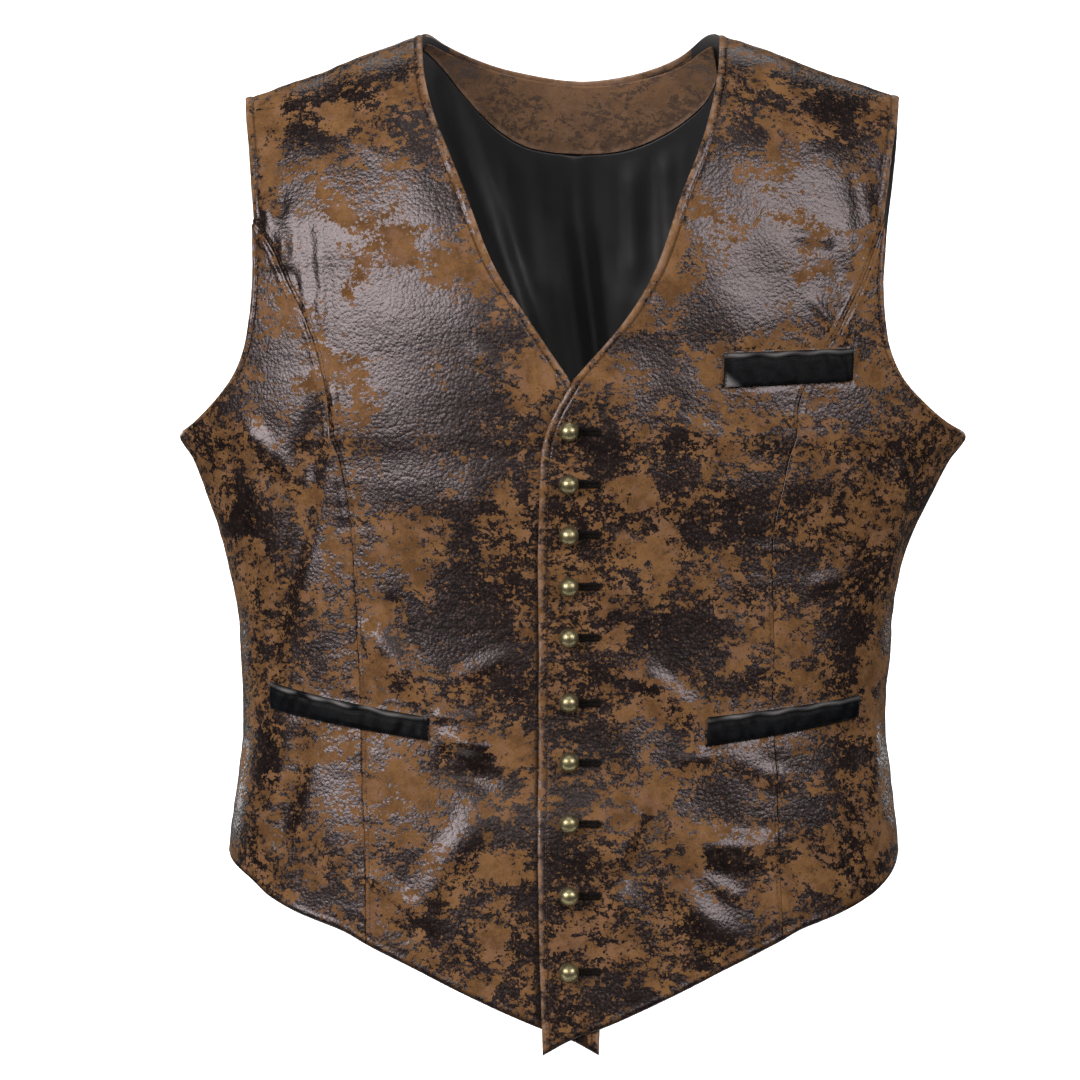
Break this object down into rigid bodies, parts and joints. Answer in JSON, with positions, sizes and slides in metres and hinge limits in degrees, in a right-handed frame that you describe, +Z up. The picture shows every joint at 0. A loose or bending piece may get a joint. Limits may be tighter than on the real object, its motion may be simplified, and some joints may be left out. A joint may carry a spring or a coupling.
{
  "type": "traditional waistcoat",
  "caption": "Single-breasted waistcoat of distressed brown leather with a deep V neck, pointed fronts, black welt pockets, ball buttons and a black satin back lining, worn form.",
  "frame": {"origin": "midway between the two shoulders, level with their high points at the neck, in the plane of the shoulder seams: where the wearer's shoulders hold the waistcoat up", "axes": "+Z up, from hem to neck; the front faces -Y; +X towards the wearer's left"},
  "size_m": [0.503, 0.2068, 0.6456],
  "materials": {
    "distressed_leather": "matte tan suede ground under glossy dark brown broken blotches",
    "black_satin": "plain black lining satin, soft sheen",
    "black_leather": "smooth black leather, low gloss",
    "aged_brass": "antique brass, darkened in the hollows"
  },
  "bodies": {
    "root": {"front_right_centre": "distressed_leather", "front_right_side": "distressed_leather", "front_left_centre": "distressed_leather", "front_left_side": "distressed_leather", "back": "distressed_leather", "back_neck_facing": "distressed_leather", "back_lining": "black_satin", "welt_chest_left": "black_leather", "welt_lower_left": "black_leather", "welt_lower_right": "black_leather", "button_01": "aged_brass", "button_02": "aged_brass", "button_03": "aged_brass", "button_04": "aged_brass", "button_05": "aged_brass", "button_06": "aged_brass", "button_07": "aged_brass", "button_08": "aged_brass", "button_09": "aged_brass", "button_10": "aged_brass"}
  },
  "joints": []
}
